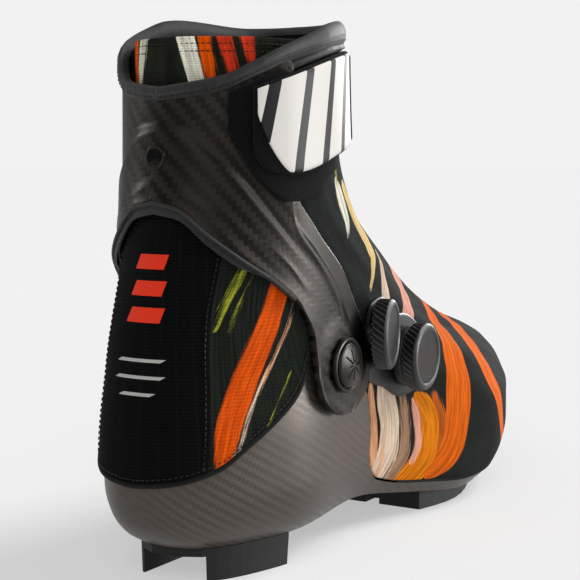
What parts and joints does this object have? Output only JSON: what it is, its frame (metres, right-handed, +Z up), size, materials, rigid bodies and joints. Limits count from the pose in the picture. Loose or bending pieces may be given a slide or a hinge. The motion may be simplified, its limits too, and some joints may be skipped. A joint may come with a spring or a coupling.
{
  "type": "cross country boot",
  "caption": "Skate-style cross-country ski boot: carbon chassis and hinged ankle cuff over a soft upper, a wrap strap, rotary lacing dials and rubber soles with a binding bar.",
  "frame": {"origin": "middle of the boot's outline, on the ground it stands on", "axes": "+Y toward the toe, +X toward the outer side of a right foot, +Z up"},
  "size_m": [0.1031, 0.3059, 0.2103],
  "materials": {
    "carbon": "satin twill carbon laminate",
    "rubber": "matt moulded rubber",
    "black_fabric": "ribbed nylon and hook-and-loop webbing",
    "printed_fabric": "brush-printed stretch shell fabric",
    "lining": "brushed lining over foam",
    "plastic": "black moulded nylon",
    "steel": "brushed stainless steel"
  },
  "bodies": {
    "boot_base": {"carbon_chassis": "carbon", "heel_outsole": "rubber", "forefoot_outsole": "rubber", "binding_bar": "steel", "bar_bracket": "steel", "lasting_board": "lining", "footbed": "lining", "inner_bootie": "lining", "tongue": "lining", "fabric_upper": "printed_fabric", "heel_panel": "black_fabric", "dial_plate": "plastic", "upper_dial_housing": "plastic", "lower_dial_housing": "plastic", "instep_lace": "plastic", "forefoot_lace": "plastic", "instep_guide": "plastic", "forefoot_guide": "plastic", "lateral_pivot_nut": "steel", "lateral_pivot_bushing": "plastic", "lateral_pivot_washer": "plastic", "lateral_pivot_screw": "plastic", "medial_pivot_nut": "steel", "medial_pivot_bushing": "plastic", "medial_pivot_washer": "plastic", "medial_pivot_screw": "plastic"},
    "cuff": {"cuff_shell": "carbon", "cuff_hem_trim": "rubber", "cuff_rim_trim": "rubber", "collar_liner": "printed_fabric", "front_collar": "black_fabric", "loop_patch": "black_fabric", "rear_eyelet": "steel", "strap_pin": "steel", "lower_strap_rivet": "steel", "upper_strap_rivet": "steel"},
    "strap_front": {"cuff_strap": "black_fabric"},
    "strap_end": {"strap_tab": "black_fabric", "strap_panel": "plastic"},
    "upper_dial_stem": {"upper_dial_shaft": "steel"},
    "upper_dial_head": {"upper_dial_knob": "rubber", "upper_dial_cap": "plastic", "upper_dial_spool": "plastic"},
    "lower_dial_stem": {"lower_dial_shaft": "steel"},
    "lower_dial_head": {"lower_dial_knob": "rubber", "lower_dial_cap": "plastic", "lower_dial_spool": "plastic"}
  },
  "joints": [
    {"name": "cuff_lean", "type": "hinge", "parent": "boot_base", "child": "cuff", "pos_m": [-0.003, -0.0749, 0.077], "axis": [-1, 0, 0], "range_deg": [-6, 16]},
    {"name": "strap_open", "type": "hinge", "parent": "cuff", "child": "strap_front", "pos_m": [-0.04366, -0.11096, 0.17501], "axis": [0, 0, 1], "range_deg": [0, 60]},
    {"name": "strap_peel", "type": "hinge", "parent": "strap_front", "child": "strap_end", "pos_m": [0.0381, -0.05733, 0.17513], "axis": [0, 0, 1], "range_deg": [0, 100]},
    {"name": "upper_dial_pull", "type": "slide", "parent": "boot_base", "child": "upper_dial_stem", "axis": [0.9613, 0.2756, 0], "range_m": [0, 0.0025]},
    {"name": "upper_dial_spin", "type": "hinge", "parent": "upper_dial_stem", "child": "upper_dial_head", "pos_m": [0.0367, -0.0514, 0.0865], "axis": [0.9613, 0.2756, 0], "continuous": true},
    {"name": "lower_dial_pull", "type": "slide", "parent": "boot_base", "child": "lower_dial_stem", "axis": [0.9976, 0.0698, 0], "range_m": [0, 0.0025]},
    {"name": "lower_dial_spin", "type": "hinge", "parent": "lower_dial_stem", "child": "lower_dial_head", "pos_m": [0.0376, -0.0199, 0.074], "axis": [0.9976, 0.0698, 0], "continuous": true}
  ],
  "couplings": [
    {"joint": "strap_open", "follows": "strap_peel", "ratio": 0.6}
  ]
}
